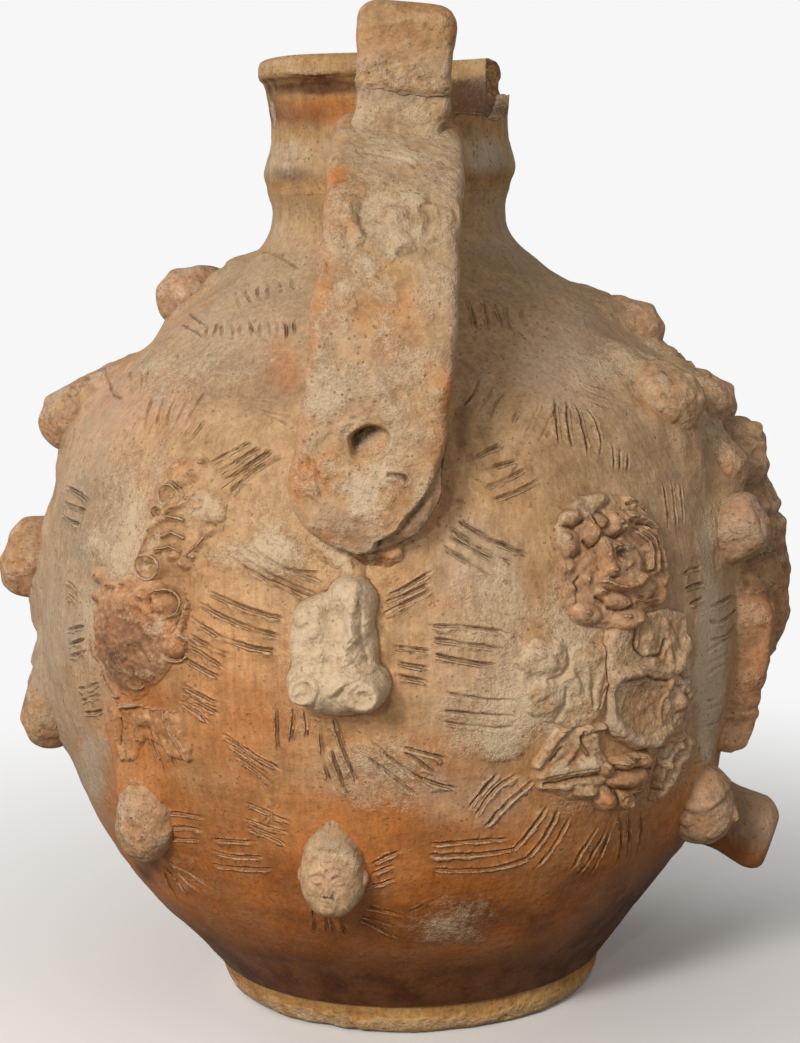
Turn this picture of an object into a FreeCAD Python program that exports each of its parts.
# Terracotta jug with a strap handle, a low spout and luted reliefs.
# Lengths are in millimetres. +Z is up, and the origin is the centre of the foot's underside.
# The handle faces -Y. An azimuth is in degrees, counted from the handle's side towards +X.
import FreeCAD, Part
import math
import os
from FreeCAD import Vector
from collections import namedtuple

os.makedirs("parts", exist_ok=True)

# Vessel
foot_radius = 68.5
foot_top_radius = 71.5
foot_height = 12.0
foot_edge_round = 3.0
bowl_base_radius = 73.0
belly_radius = 129.0
belly_height = 133.0
neck_radius = 42.5
neck_height = 287.0
collar_radius = 45.5
collar_hollow_radius = 43.5
lip_radius = 48.2
lip_thickness = 11.0
mouth_height = 341.0
throat_radius = 35.0
wall = 8.0
floor_thickness = 8.0
lower_curve_shares = ((0.11, 0.18), (0.27, 0.465), (0.48, 0.73), (0.73, 0.905))
upper_curve_shares = (
    (0.18, 0.977), (0.37, 0.918), (0.53, 0.80), (0.68, 0.548), (0.79, 0.345), (0.87, 0.15), (0.95, 0.015),
)
collar_curve_shares = ((0.15, 1.0), (0.30, 0.75), (0.55, 0.05), (0.78, 0.30))
shoulder_seam_share = 0.84
collar_seam_share = 0.15
throat_start_share = 0.95

# The broken stretch of the mouth
break_start_azimuth = 24.0
break_end_azimuth = 93.0
break_depth = 21.0

# Handle
handle_width = 48.0
handle_top_width = 42.0
handle_thickness = 13.0
handle_tip_height = 183.0
handle_top_height = 319.0
handle_tongue = 27.0
handle_lean = 6.1
handle_lean_height = 275.0
handle_path_shares = (
    (-0.07, 1.0), (0.20, 1.0), (0.41, 0.992), (0.60, 0.935), (0.76, 0.82),
    (0.89, 0.63), (0.975, 0.40), (1.0, 0.17), (0.99, 0.0), (0.97, -0.12),
)
pit_width = 13.0
pit_height = 10.0
pit_depth = 8.0
pit_rise = 34.0
pit_offset = 3.5

# Thumb knob on its stem
knob_width = 32.0
knob_depth = 25.0
knob_height = 29.0
knob_round = 7.0
knob_reach = 75.0
stem_width = 29.0
stem_depth = 21.0
stem_height = 7.0

# Clay pressed on at the handle's root
luting_width = 26.0
luting_height = 17.0
luting_relief = 6.0
luting_azimuth = -5.5
luting_drop = 1.0

# Spout
spout_azimuth = 77.0
spout_height = 68.0
spout_tilt = -19.0
spout_root_radius = 11.0
spout_end_radius = 14.0
spout_length = 29.0
spout_end_round = 5.0
spout_bore_radius = 5.5

# Applied heads: azimuth, height share of the mouth's height, turn in the surface,
# then shares of the common width, length and relief
head_width = 22.0
head_length = 30.0
head_relief = 15.0
Head = namedtuple("Head", "azimuth height_share turn width_share length_share relief_share")
head_place_shares = {
    "front_low_head": Head(-10.5, 0.222, 6, 0.86, 1.06, 0.87),
    "left_low_head": Head(-44, 0.253, 8, 1.05, 1.0, 0.82),
    "left_edge_low_head": Head(-82, 0.320, 4, 1.0, 1.05, 0.78),
    "left_edge_middle_head": Head(-86, 0.475, 0, 1.0, 0.95, 1.05),
    "left_edge_high_head": Head(-88, 0.628, -6, 1.0, 1.0, 0.88),
    "left_shoulder_head": Head(-99, 0.748, -18, 0.92, 0.94, 0.86),
    "right_shoulder_head": Head(61, 0.646, -12, 1.05, 0.95, 0.88),
    "right_edge_shoulder_head": Head(88, 0.706, 10, 1.0, 0.9, 0.95),
    "right_twin_near_head": Head(80, 0.632, 5, 0.8, 0.8, 0.8),
    "right_twin_far_head": Head(94, 0.628, 5, 0.9, 0.9, 1.1),
    "worn_head": Head(75, 0.572, 0, 0.85, 0.72, 0.7),
    "side_figure_head": Head(70, 0.505, -25, 1.0, 0.72, 1.0),
    "spout_head": Head(61, 0.232, -14, 1.05, 1.0, 1.0),
    "back_low_left_head": Head(-118, 0.235, 5, 1.0, 1.0, 0.95),
    "back_middle_left_head": Head(-132, 0.465, -4, 1.0, 1.0, 1.0),
    "back_shoulder_head": Head(-152, 0.690, 8, 0.9, 0.9, 0.95),
    "back_middle_right_head": Head(140, 0.470, 3, 1.0, 1.0, 1.0),
    "back_low_right_head": Head(125, 0.225, -6, 1.0, 1.0, 0.95),
}
skull_shares = (0.5, 0.42, 0.62, -0.04)
crest_shares = (0.42, 0.20, 0.42, 0.34)
jaw_shares = (0.30, 0.20, 0.40, -0.32)
nose_shares = (0.09, 0.15, 0.22, -0.04)
nose_lift_share = 0.437

# Animal head below the handle
ox_azimuth = -7.3
ox_height = 150.5
ox_width = 35.0
ox_length = 44.0
ox_relief = 17.0
ox_turn = 4.0
nostril_ring_radius = 4.5
nostril_rim_radius = 2.0
ear_length = 12.0
ox_muzzle_shares = (0.92, 0.27, 0.62, 0.38)
ox_brow_shares = (0.74, 0.40, 0.55, 0.10)

# Low reliefs: azimuth, height share of the belly's height, half sizes and turn
pad_thickness = 3.0
raised_thickness = 6.5
Relief = namedtuple("Relief", "azimuth height_share half_across half_up turn")
medallion = Relief(37.5, 1.308, 18.5, 22.0, 6)
medallion_face = Relief(37.0, 1.315, 10.0, 12.5, 4)
back_medallion = Relief(180, 1.25, 18.5, 22.0, 0)
back_medallion_face = Relief(180, 1.255, 10.0, 12.5, 0)
vine_scrolls = Relief(-34.0, 1.455, 12.5, 18.0, -28)
vine_bunch = Relief(-44.0, 1.128, 18.0, 23.5, -10)
vine_knot = Relief(-41.0, 0.872, 14.0, 9.0, -20)
foliage_sprig = Relief(24.6, 1.068, 14.0, 16.5, 0)
foliage_crescent = Relief(41.0, 0.985, 16.5, 22.0, 0)
foliage_leaves = Relief(25.0, 0.795, 15.5, 8.5, -22)
foliage_rosette = Relief(38.5, 0.705, 14.5, 14.0, 0)
foliage_strands = Relief(51.0, 0.725, 6.0, 13.0, -30)
wing = Relief(88.0, 1.215, 19.0, 46.0, -4)
tunic = Relief(74.5, 0.950, 8.0, 31.0, -4)
medallion_petals = 14
petal_length = 7.5
petal_width = 4.2
petal_relief = 6.5
medallion_backing_share = 0.8
mask_brow_share = 0.1
mask_muzzle_share = -0.4
mask_muzzle_size_shares = (0.5, 0.4, 0.25)
rosette_petals = 9
rosette_petal_share = 0.7
rosette_backing_share = 0.9
leaf_width_share = 0.6
face_relief = 10.5
berry_radius = 3.4
scroll_radius = 4.6
scroll_rim_radius = 2.2
scroll_lift = 2.2
wing_ribs = 6
wing_relief = 15.0
wing_rib_relief = 18.0
wing_rib_width = 4.5
wing_rib_spread = 5.0
wing_fan_share = 1.5
wing_backing_share = 0.92
tunic_relief = 12.0
tunic_folds = 4
tunic_fold_radius = 2.2
tunic_first_fold_share = -0.9
tunic_folded_share = 1.2
bunch_berry_shares = (
    (-0.45, 0.55), (-0.12, 0.62), (0.22, 0.55), (0.55, 0.62), (-0.55, 0.22), (-0.22, 0.25), (0.12, 0.22),
    (0.45, 0.25), (-0.38, -0.10), (-0.05, -0.08), (0.28, -0.10), (-0.25, -0.40), (0.10, -0.40), (-0.05, -0.68),
)
scroll_place_shares = (
    (-0.35, 0.62), (0.30, 0.40), (-0.20, 0.05), (0.38, -0.18), (-0.30, -0.48), (0.28, -0.66),
)
sprig_lobe_shares = ((0.02, 0.62), (-0.42, 0.30), (0.35, 0.28), (-0.25, -0.15), (0.30, -0.30), (-0.05, -0.62))
knot_lobe_shares = ((-0.55, 0.1), (0.0, 0.2), (0.5, -0.1))
strand_turn_shares = (-0.5, 0.0, 0.5)
crescent_inner_share = 0.62
crescent_shift_share = 0.22

# Working values
overrun = 20.0
search_steps = 44
RIGHT_ANGLE = 90.0
FULL_TURN = 360.0
HALF = 0.5
UNIT = 1.0
UP = Vector(0, 0, 1)
ORIGIN = Vector(0, 0, 0)
Place = namedtuple("Place", "point across up out")


def outline_stations():
    """Outer outline of the clay as (radius, height) from the bowl's base to the lip's underside."""
    rise = belly_height - foot_height
    stations = [(bowl_base_radius, foot_height)]
    for height_share, radius_share in lower_curve_shares:
        radius = bowl_base_radius + radius_share * (belly_radius - bowl_base_radius)
        stations.append((radius, foot_height + height_share * rise))
    stations.append((belly_radius, belly_height))
    rise = neck_height - belly_height
    for height_share, radius_share in upper_curve_shares:
        radius = neck_radius + radius_share * (belly_radius - neck_radius)
        stations.append((radius, belly_height + height_share * rise))
    stations.append((neck_radius, neck_height))
    rise = mouth_height - lip_thickness - neck_height
    for height_share, radius_share in collar_curve_shares:
        radius = collar_hollow_radius + radius_share * (collar_radius - collar_hollow_radius)
        stations.append((radius, neck_height + height_share * rise))
    return stations


def moved_out(stations, distance):
    """The same stations moved along the outline's normal by a distance, outwards when positive."""
    moved = []
    last = len(stations) - 1
    for index, (radius, height) in enumerate(stations):
        before = stations[max(index - 1, 0)]
        after = stations[min(index + 1, last)]
        run = after[0] - before[0]
        rise = after[1] - before[1]
        length = math.hypot(run, rise)
        moved.append((radius + distance * rise / length, height - distance * run / length))
    return moved


def smooth_curve(pairs):
    """One smooth curve through (radius, height) pairs in the XZ plane."""
    curve = Part.BSplineCurve()
    curve.interpolate([Vector(radius, 0, height) for radius, height in pairs])
    return curve


def turned(edges):
    """A solid turned about the Z axis from a closed outline in the XZ plane."""
    face = Part.Face(Part.Wire(Part.__sortEdges__(edges)))
    return face.revolve(ORIGIN, UP, FULL_TURN)


def joined_lines(pairs):
    """Straight edges through (radius, height) pairs."""
    points = [Vector(radius, 0, height) for radius, height in pairs]
    return [Part.LineSegment(a, b).toShape() for a, b in zip(points, points[1:])]


def vessel_block(distance=0.0):
    """The whole vessel without its hollow, its skin moved out by a distance."""
    stations = moved_out(outline_stations(), distance) if distance else outline_stations()
    lip_under = mouth_height - lip_thickness
    side = stations + [(lip_radius + distance, lip_under)]
    edges = [smooth_curve(side).toShape()]
    lip_edge = Vector(lip_radius + distance, 0, mouth_height - lip_thickness * HALF)
    lip_top = (lip_radius + distance - lip_thickness * HALF, mouth_height)
    start = Vector(side[-1][0], 0, side[-1][1])
    edges.append(Part.LineSegment(start, lip_edge).toShape())
    corner = math.sqrt(HALF) * lip_thickness * HALF
    middle = Vector(lip_top[0] + corner, 0, lip_edge.z + corner)
    edges.append(Part.Arc(lip_edge, middle, Vector(lip_top[0], 0, lip_top[1])).toShape())
    edges += joined_lines([lip_top, (0, mouth_height), (0, side[0][1]), side[0]])
    return turned(edges)


def vessel_hollow():
    """The hollow inside: a round chamber that narrows to a straight throat."""
    inner = moved_out(outline_stations(), -wall)
    floor_height = foot_height + floor_thickness
    throat_start = throat_start_share * neck_height
    pairs = [(bowl_base_radius - wall, floor_height)]
    for radius, height in inner:
        above_floor = height > floor_height + wall * HALF
        if above_floor and radius > throat_radius + wall * HALF and height < throat_start:
            pairs.append((radius, height))
    pairs.append((throat_radius, throat_start))
    edges = [smooth_curve(pairs).toShape()]
    top = mouth_height + overrun
    edges += joined_lines([pairs[-1], (throat_radius, top), (0, top), (0, floor_height), pairs[0]])
    return turned(edges)


def slab(low, high):
    """A disc wider than the vessel between two heights."""
    return Part.makeCylinder(belly_radius + overrun, high - low, Vector(0, 0, low), UP)


SKIN = smooth_curve(outline_stations())


def skin_at(height):
    """Radius of the vessel's skin at a height, and the outline's direction there."""
    low = SKIN.FirstParameter
    high = SKIN.LastParameter
    for _ in range(search_steps):
        middle = (low + high) * HALF
        if SKIN.value(middle).z < height:
            low = middle
        else:
            high = middle
    return SKIN.value(low).x, SKIN.tangent(low)[0]


def place_on_skin(azimuth, height, across=0.0, up=0.0):
    """A place on the skin, moved across and up along the surface by two lengths."""
    radius, direction = skin_at(height)
    radius, direction = skin_at(height + up * direction.z)
    height = height + up * direction.z
    angle = math.radians(azimuth) + across / radius
    sine = math.sin(angle)
    cosine = math.cos(angle)
    point = Vector(radius * sine, -radius * cosine, height)
    side = Vector(cosine, sine, 0)
    climb = Vector(direction.x * sine, -direction.x * cosine, direction.z)
    return Place(point, side, climb, side.cross(climb))


def turned_place(place, turn):
    """A place turned in the surface, clockwise as seen from outside."""
    angle = math.radians(turn)
    across = place.across * math.cos(angle) - place.up * math.sin(angle)
    up = place.across * math.sin(angle) + place.up * math.cos(angle)
    return Place(place.point, across, up, place.out)


def frame_matrix(place, across_size, up_size, out_size, lift):
    """Matrix that takes a unit shape to a place, with its three half sizes."""
    centre = place.point + place.out * lift
    a = place.across * across_size
    b = place.up * up_size
    c = place.out * out_size
    rows = (a.x, b.x, c.x, centre.x, a.y, b.y, c.y, centre.y, a.z, b.z, c.z, centre.z, 0, 0, 0, 1)
    return FreeCAD.Matrix(*rows)


def pebble(place, across_size, up_size, out_size, lift=0.0):
    """A rounded lump with three half sizes, its centre lifted off the skin."""
    matrix = frame_matrix(place, across_size, up_size, out_size, lift)
    return Part.makeSphere(UNIT).transformGeometry(matrix)


def prism(place, half_across, half_up, depth):
    """An oval prism along the skin's normal, through the skin by a depth each way."""
    across_is_longer = half_across >= half_up
    longer = max(half_across, half_up)
    shorter = min(half_across, half_up)
    oval = Part.Ellipse(ORIGIN, longer, shorter).toShape()
    solid = Part.Face(Part.Wire([oval])).extrude(UP * (depth + depth))
    if not across_is_longer:
        solid.rotate(ORIGIN, UP, RIGHT_ANGLE)
    sunk = FreeCAD.Placement(frame_matrix(place, UNIT, UNIT, UNIT, -depth))
    solid.Placement = sunk.multiply(solid.Placement)
    return solid


def fused(shapes):
    """One solid from shapes that overlap."""
    result = shapes[0].multiFuse(shapes[1:]) if len(shapes) > 1 else shapes[0]
    return result.Solids[0] if len(result.Solids) == 1 else result


VESSEL = vessel_block()
PAD_SKIN = vessel_block(pad_thickness)
RAISED_SKIN = vessel_block(raised_thickness)


def seated(shape, *neighbours):
    """A piece cut to the vessel's skin and to the pieces that it meets, loose crumbs left out."""
    for solid in (VESSEL,) + neighbours:
        shape = shape.cut(solid)
    return max(shape.Solids, key=lambda solid: solid.Volume)


def relief_place(relief, across_share=0.0, up_share=0.0):
    """A place inside a low relief, by shares of its half sizes, turned with the relief."""
    angle = math.radians(relief.turn)
    across = across_share * relief.half_across
    up = up_share * relief.half_up
    moved_across = across * math.cos(angle) + up * math.sin(angle)
    moved_up = up * math.cos(angle) - across * math.sin(angle)
    place = place_on_skin(relief.azimuth, relief.height_share * belly_height, moved_across, moved_up)
    return turned_place(place, -relief.turn)


def relief_pad(relief, skin=None, width_share=1.0):
    """The low backing of a relief: an oval that follows the skin."""
    across = relief.half_across * width_share
    oval = prism(relief_place(relief), across, relief.half_up * width_share, overrun)
    return oval.common(skin or PAD_SKIN)


def foot_disc():
    """Flat disc that widens upwards, with a rounded lower edge."""
    disc = Part.makeCone(foot_radius, foot_top_radius, foot_height)
    low_edges = [edge for edge in disc.Edges if edge.Closed and abs(edge.CenterOfMass.z) < foot_edge_round]
    return disc.makeFillet(foot_edge_round, low_edges)


def mouth_break():
    """The missing stretch of the collar: a wedge from the break's floor upwards."""
    reach = lip_radius + overrun
    floor = mouth_height - break_depth
    corners = [Vector(0, 0, floor)]
    middle_azimuth = (break_start_azimuth + break_end_azimuth) * HALF
    for azimuth in (break_start_azimuth, middle_azimuth, break_end_azimuth):
        angle = math.radians(azimuth)
        corners.append(Vector(reach * math.sin(angle), -reach * math.cos(angle), floor))
    wedge = Part.Face(Part.makePolygon(corners + [corners[0]]))
    return wedge.extrude(UP * (break_depth + overrun))


def spout_direction():
    """Direction in which the spout points."""
    azimuth = math.radians(spout_azimuth)
    tilt = math.radians(spout_tilt)
    level = math.cos(tilt)
    return Vector(level * math.sin(azimuth), -level * math.cos(azimuth), math.sin(tilt))


def spout_root():
    """Point where the spout's axis leaves the skin."""
    return place_on_skin(spout_azimuth, spout_height).point


def along_spout(solid):
    """A solid built up the Z axis, laid along the spout's axis from its root."""
    turn = FreeCAD.Rotation(UP, spout_direction())
    solid.Placement = FreeCAD.Placement(spout_root(), turn).multiply(solid.Placement)
    return solid


def spout_bore():
    """The bore from the spout's end through the wall."""
    length = spout_length + wall + overrun + overrun
    return along_spout(Part.makeCylinder(spout_bore_radius, length, Vector(0, 0, -wall - overrun), UP))


def spout():
    """A short flared tube with a rounded end, sunk to the skin."""
    widening = (spout_end_radius - spout_root_radius) / spout_length
    inner_radius = spout_root_radius - widening * overrun
    round_start = spout_end_radius - spout_end_round
    corner = math.sqrt(HALF) * spout_end_round
    shoulder = spout_length - spout_end_round
    side = [(0, -overrun), (inner_radius, -overrun), (spout_end_radius, shoulder)]
    edges = joined_lines(side) + joined_lines([(round_start, spout_length), (0, spout_length), (0, -overrun)])
    middle = Vector(round_start + corner, 0, shoulder + corner)
    end = Vector(round_start, 0, spout_length)
    edges.append(Part.Arc(Vector(spout_end_radius, 0, shoulder), middle, end).toShape())
    return seated(along_spout(turned(edges)), spout_bore())


def lean_with_handle(solid):
    """A solid turned sideways with the leaning handle."""
    leaning = solid.copy()
    leaning.rotate(Vector(0, 0, handle_lean_height), Vector(0, 1, 0), handle_lean)
    return leaning


def handle_side():
    """Side view of the strap, as a slab as wide as the strap."""
    seat_radius = skin_at(handle_tip_height)[0] + handle_thickness * HALF
    top = handle_top_height - handle_thickness * HALF
    centre_line = []
    for reach_share, rise_share in handle_path_shares:
        radius = collar_radius + reach_share * (seat_radius - collar_radius)
        centre_line.append((radius, handle_tip_height + rise_share * (top - handle_tip_height)))
    outer = smooth_curve(moved_out(centre_line, -handle_thickness * HALF))
    inner = smooth_curve(moved_out(centre_line, handle_thickness * HALF))
    edges = [outer.toShape(), inner.toShape()]
    edges.append(Part.LineSegment(outer.StartPoint, inner.StartPoint).toShape())
    edges.append(Part.LineSegment(outer.EndPoint, inner.EndPoint).toShape())
    face = Part.Face(Part.Wire(Part.__sortEdges__(edges)))
    side = face.extrude(Vector(0, handle_width, 0))
    side.translate(Vector(0, -handle_width * HALF, 0))
    side.rotate(ORIGIN, UP, -RIGHT_ANGLE)
    return side


def handle_front():
    """Front view of the strap, with its rounded tongue, as a slab through the whole handle."""
    half_low = handle_width * HALF
    half_top = handle_top_width * HALF
    tongue_height = handle_tip_height + handle_tongue
    top = handle_top_height + overrun
    low_left = Vector(-half_low, 0, tongue_height)
    low_right = Vector(half_low, 0, tongue_height)
    top_left = Vector(-half_top, 0, top)
    top_right = Vector(half_top, 0, top)
    edges = [
        Part.Arc(low_left, Vector(0, 0, handle_tip_height), low_right).toShape(),
        Part.LineSegment(low_right, top_right).toShape(),
        Part.LineSegment(top_right, top_left).toShape(),
        Part.LineSegment(top_left, low_left).toShape(),
    ]
    return Part.Face(Part.Wire(edges)).extrude(Vector(0, -belly_radius - overrun - handle_thickness, 0))


def handle_pit():
    """The blind pit pressed into the strap."""
    height = handle_tip_height + pit_rise
    face_radius = skin_at(handle_tip_height)[0] + handle_thickness
    centre = Place(Vector(-pit_offset, -face_radius, height), Vector(1, 0, 0), UP, Vector(0, -1, 0))
    return pebble(centre, pit_width * HALF, pit_height * HALF, pit_depth)


def handle_strap():
    """Flat strap that rises from the belly and bends back to the collar."""
    strap = handle_side().common(handle_front()).cut(handle_pit())
    return seated(lean_with_handle(strap))


def knob_base():
    """Height of the knob's flat underside."""
    return handle_top_height + stem_height


def handle_stem(strap):
    """The narrow block that carries the knob on the strap's bend."""
    low = handle_top_height - handle_thickness
    corner = Vector(-stem_width * HALF, -knob_reach - stem_depth * HALF, low)
    return seated(lean_with_handle(Part.makeBox(stem_width, stem_depth, knob_base() - low, corner)), strap)


def handle_knob():
    """The rounded thumb knob."""
    corner = Vector(-knob_width * HALF, -knob_reach - knob_depth * HALF, knob_base())
    block = Part.makeBox(knob_width, knob_depth, knob_height, corner)
    base = knob_base()
    rounded = [edge for edge in block.Edges if edge.CenterOfMass.z > base]
    return lean_with_handle(block.makeFillet(knob_round, rounded))


def ox_head():
    """Animal's head: a broad muzzle with two ringed nostrils, a sloping brow and two ears."""
    half = ox_width * HALF
    muzzle_drop = ox_length * HALF * HALF

    def spot(across, up):
        angle = math.radians(ox_turn)
        moved_across = across * math.cos(angle) + up * math.sin(angle)
        moved_up = up * math.cos(angle) - across * math.sin(angle)
        return turned_place(place_on_skin(ox_azimuth, ox_height, moved_across, moved_up), -ox_turn)

    wide, long, deep, lift = ox_muzzle_shares
    muzzle = spot(0, -muzzle_drop)
    parts = [pebble(muzzle, half * wide, ox_length * long, ox_relief * deep, ox_relief * lift)]
    wide, long, deep, lift = ox_brow_shares
    brow = spot(0, muzzle_drop * lift)
    parts.append(pebble(brow, half * wide, ox_length * long, ox_relief * deep, ox_relief * lift))
    for side in (-1, 1):
        nostril = spot(side * half * HALF, -muzzle_drop - nostril_ring_radius)
        centre = nostril.point + nostril.out * (ox_relief - nostril_ring_radius)
        parts.append(Part.makeTorus(nostril_ring_radius, nostril_rim_radius, centre, nostril.out))
        parts.append(Part.makeSphere(nostril_ring_radius, centre))
        ear = spot(side * half * wide, muzzle_drop)
        parts.append(pebble(ear, ear_length * HALF, ear_length * HALF * HALF, ear_length * HALF * HALF))
    return fused(parts)


def applied_head(head):
    """A small head: skull, hair, jaw and nose as rounded lumps."""
    width = head_width * head.width_share
    length = head_length * head.length_share
    relief = head_relief * head.relief_share
    height = head.height_share * mouth_height
    angle = math.radians(head.turn)
    lumps = []
    for half_width, half_length, half_depth, rise in (skull_shares, crest_shares, jaw_shares):
        up = rise * length
        place = place_on_skin(head.azimuth, height, up * math.sin(angle), up * math.cos(angle))
        place = turned_place(place, -head.turn)
        depth = half_depth * relief
        lift = (relief - depth) * HALF
        lumps.append(pebble(place, half_width * width, half_length * length, depth, lift))
    half_width, half_length, half_depth, rise = nose_shares
    place = turned_place(place_on_skin(head.azimuth, height, 0, rise * length), -head.turn)
    depth = half_depth * relief
    lumps.append(pebble(place, half_width * width, half_length * length, depth, nose_lift_share * relief))
    return fused(lumps)


def ring_of_petals(relief, count, length, width, height):
    """Petals set round a relief, each pointing outwards."""
    petals = []
    for index in range(count):
        turn = FULL_TURN * index / count
        angle = math.radians(turn)
        inner_across = 1 - length / relief.half_across
        inner_up = 1 - length / relief.half_up
        place = relief_place(relief, math.sin(angle) * inner_across, math.cos(angle) * inner_up)
        petals.append(pebble(turned_place(place, turn), width, length, height))
    return petals


def medallion_mane(relief):
    """A ring of petals on a low oval backing."""
    petals = ring_of_petals(relief, medallion_petals, petal_length, petal_width, petal_relief)
    return fused([relief_pad(relief, RAISED_SKIN, medallion_backing_share)] + petals)


def medallion_mask(relief):
    """The round mask in the middle of a medallion."""
    brow = relief_place(relief, 0, mask_brow_share)
    muzzle = relief_place(relief, 0, mask_muzzle_share)
    wide, long, lift = mask_muzzle_size_shares
    return fused([
        pebble(brow, relief.half_across, relief.half_up, face_relief),
        pebble(muzzle, relief.half_across * wide, relief.half_up * long, face_relief, face_relief * lift),
    ])


def beads(relief, shares, radius):
    """Round beads on a relief."""
    return [Part.makeSphere(radius, relief_place(relief, across, up).point) for across, up in shares]


def grape_bunch():
    """A drop-shaped bunch covered with beads."""
    berries = beads(vine_bunch, bunch_berry_shares, berry_radius + pad_thickness)
    return fused([relief_pad(vine_bunch)] + berries)


def scrolls():
    """Curled tendrils, each a small ring on the backing."""
    rings = []
    for across, up in scroll_place_shares:
        place = relief_place(vine_scrolls, across, up)
        centre = place.point + place.out * scroll_lift
        rings.append(Part.makeTorus(scroll_radius, scroll_rim_radius, centre, place.out))
    return fused([relief_pad(vine_scrolls)] + rings)


def lobed(relief, shares, radius):
    """Rounded lobes on a backing."""
    return fused([relief_pad(relief)] + beads(relief, shares, radius))


def crescent():
    """A thick crescent open to the upper right, with a bud in its hollow."""
    outer = relief_pad(foliage_crescent, RAISED_SKIN)
    middle = relief_place(foliage_crescent, crescent_shift_share, crescent_shift_share)
    inner_across = foliage_crescent.half_across * crescent_inner_share
    inner_up = foliage_crescent.half_up * crescent_inner_share
    hollow = prism(middle, inner_across, inner_up, overrun).cut(PAD_SKIN)
    bud = pebble(middle, inner_across * HALF * HALF, inner_up * HALF, raised_thickness)
    return fused([outer.cut(hollow), bud])


def leaf_pair():
    """Two leaves end to end."""
    leaves = []
    half_long = foliage_leaves.half_across * HALF
    half_wide = foliage_leaves.half_up * leaf_width_share
    for side in (-1, 1):
        place = relief_place(foliage_leaves, side * HALF, 0)
        leaves.append(pebble(place, half_long, half_wide, raised_thickness))
    return fused([relief_pad(foliage_leaves)] + leaves)


def rosette():
    """A knotted rosette of petals round a bead."""
    length = petal_length * rosette_petal_share
    petals = ring_of_petals(foliage_rosette, rosette_petals, length, petal_width, petal_relief)
    heart = Part.makeSphere(petal_relief, relief_place(foliage_rosette).point)
    return fused([relief_pad(foliage_rosette, PAD_SKIN, rosette_backing_share), heart] + petals)


def strands():
    """Three twisted strands side by side."""
    bars = []
    half_wide = foliage_strands.half_across * HALF * HALF
    for share in strand_turn_shares:
        place = relief_place(foliage_strands, share, 0)
        bars.append(pebble(place, half_wide, foliage_strands.half_up, raised_thickness))
    return fused([relief_pad(foliage_strands)] + bars)


def ribbed_wing():
    """A tall ribbed leaf behind the side figure, thick at its middle."""
    backing = relief_pad(wing, vessel_block(wing_relief).cut(VESSEL), wing_backing_share)
    rib_skin = vessel_block(wing_rib_relief).cut(VESSEL)
    ribs = []
    for index in range(wing_ribs):
        share = (index + HALF) / wing_ribs - HALF
        place = turned_place(relief_place(wing, share * wing_fan_share, 0), share * wing_rib_spread)
        half_up = wing.half_up * math.sqrt(1 - share * share * 2)
        ribs.append(prism(place, wing_rib_width * HALF, half_up, overrun + wing_rib_relief).common(rib_skin))
    return fused([backing] + ribs)


def folded_tunic():
    """The figure's long dress, a thick strip with level folds."""
    strip = relief_pad(tunic, vessel_block(tunic_relief))
    folds = []
    for index in range(tunic_folds):
        share = tunic_first_fold_share + tunic_folded_share * (index + 1) / tunic_folds
        place = relief_place(tunic, 0, share)
        half = tunic.half_across * math.sqrt(1 - share * share)
        folds.append(pebble(place, half, tunic_fold_radius, tunic_relief + tunic_fold_radius))
    return fused([strip] + folds)


def luting():
    """Clay smeared below the strap's tip."""
    height = handle_tip_height - luting_drop
    place = place_on_skin(luting_azimuth, height)
    return pebble(place, luting_width * HALF, luting_height * HALF, luting_relief)


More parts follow.
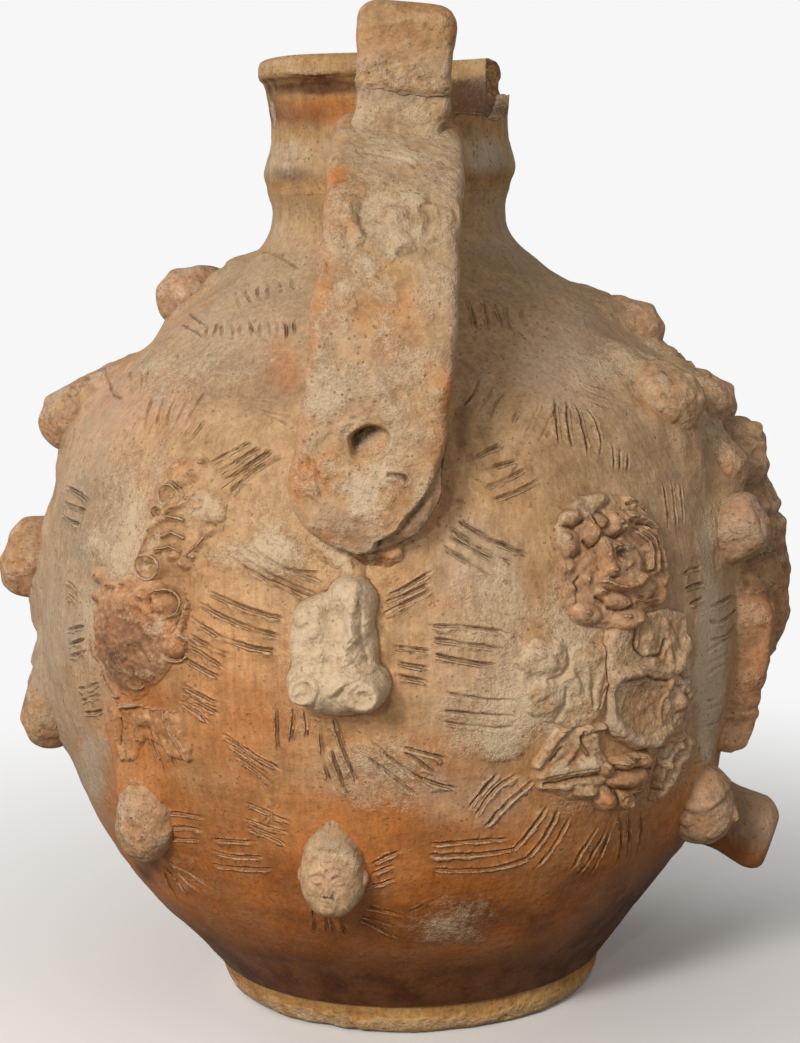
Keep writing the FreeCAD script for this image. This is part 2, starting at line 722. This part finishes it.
def build():
    """All pieces by name."""
    hollow = vessel_hollow()
    shell = VESSEL.cut(hollow)
    shoulder_seam = belly_height + shoulder_seam_share * (neck_height - belly_height)
    collar_seam = neck_height + collar_seam_share * (mouth_height - lip_thickness - neck_height)
    pieces = {"foot_disc": foot_disc()}
    pieces["lower_bowl"] = shell.common(slab(foot_height, belly_height)).cut(spout_bore())
    pieces["shoulder_shell"] = shell.common(slab(belly_height, shoulder_seam))
    pieces["neck_tube"] = shell.common(slab(shoulder_seam, collar_seam))
    pieces["mouth_collar"] = shell.common(slab(collar_seam, mouth_height + overrun)).cut(mouth_break())

    strap = handle_strap()
    pieces["handle_strap"] = strap
    pieces["handle_stem"] = handle_stem(strap)
    pieces["handle_knob"] = handle_knob()
    pieces["handle_root_luting"] = seated(luting(), strap)
    pieces["ox_head"] = seated(ox_head(), strap, pieces["handle_root_luting"])
    pieces["spout"] = spout()

    bore = spout_bore()
    pieces["medallion_mask"] = seated(medallion_mask(medallion_face))
    pieces["medallion_mane"] = seated(medallion_mane(medallion), pieces["medallion_mask"])
    pieces["back_medallion_mask"] = seated(medallion_mask(back_medallion_face))
    pieces["back_medallion_mane"] = seated(medallion_mane(back_medallion), pieces["back_medallion_mask"])
    pieces["vine_grape_bunch"] = seated(grape_bunch())
    pieces["vine_scrolls"] = seated(scrolls(), pieces["vine_grape_bunch"])
    knot = lobed(vine_knot, knot_lobe_shares, raised_thickness)
    pieces["vine_knot"] = seated(knot, pieces["vine_grape_bunch"])
    pieces["foliage_crescent"] = seated(crescent(), pieces["medallion_mane"])
    sprig = lobed(foliage_sprig, sprig_lobe_shares, raised_thickness)
    pieces["foliage_sprig"] = seated(sprig, pieces["medallion_mane"], pieces["foliage_crescent"])
    pieces["foliage_rosette"] = seated(rosette(), pieces["foliage_crescent"])
    pieces["foliage_leaves"] = seated(leaf_pair(), pieces["foliage_rosette"], pieces["foliage_sprig"])
    pieces["foliage_strands"] = seated(strands(), pieces["foliage_rosette"], pieces["foliage_crescent"])

    met_by_heads = {
        "left_low_head": ("vine_knot",),
        "spout_head": ("spout", "foliage_strands", "foliage_rosette"),
        "right_twin_far_head": ("right_edge_shoulder_head",),
        "right_twin_near_head": ("right_shoulder_head", "right_edge_shoulder_head"),
        "right_edge_shoulder_head": ("right_shoulder_head",),
        "worn_head": ("right_twin_near_head", "right_twin_far_head", "right_shoulder_head"),
        "side_figure_head": ("worn_head",),
    }
    for name in head_place_shares:
        neighbours = [pieces[other] for other in met_by_heads.get(name, ()) if other in pieces]
        pieces[name] = seated(applied_head(head_place_shares[name]), bore, *neighbours)

    figure_neighbours = [pieces[name] for name in (
        "side_figure_head", "worn_head", "right_twin_near_head", "right_twin_far_head",
        "right_edge_shoulder_head", "spout", "spout_head")]
    pieces["side_figure_tunic"] = seated(folded_tunic(), *figure_neighbours)
    pieces["side_figure_wing"] = seated(ribbed_wing(), pieces["side_figure_tunic"], *figure_neighbours)
    return pieces


def main():
    """Writes each piece and prints its size."""
    for name, shape in build().items():
        solids = shape.Solids
        shape = solids[0] if len(solids) == 1 else Part.makeCompound(solids)
        box = shape.BoundBox
        print(f"{name:26s} solids {len(solids)} valid {shape.isValid()} volume {shape.Volume:10.0f}")
        low = f"{box.XMin:.1f} {box.YMin:.1f} {box.ZMin:.1f}"
        print(f"    from {low} to {box.XMax:.1f} {box.YMax:.1f} {box.ZMax:.1f}")
        shape.exportStep(f"parts/{name}.step")


main()
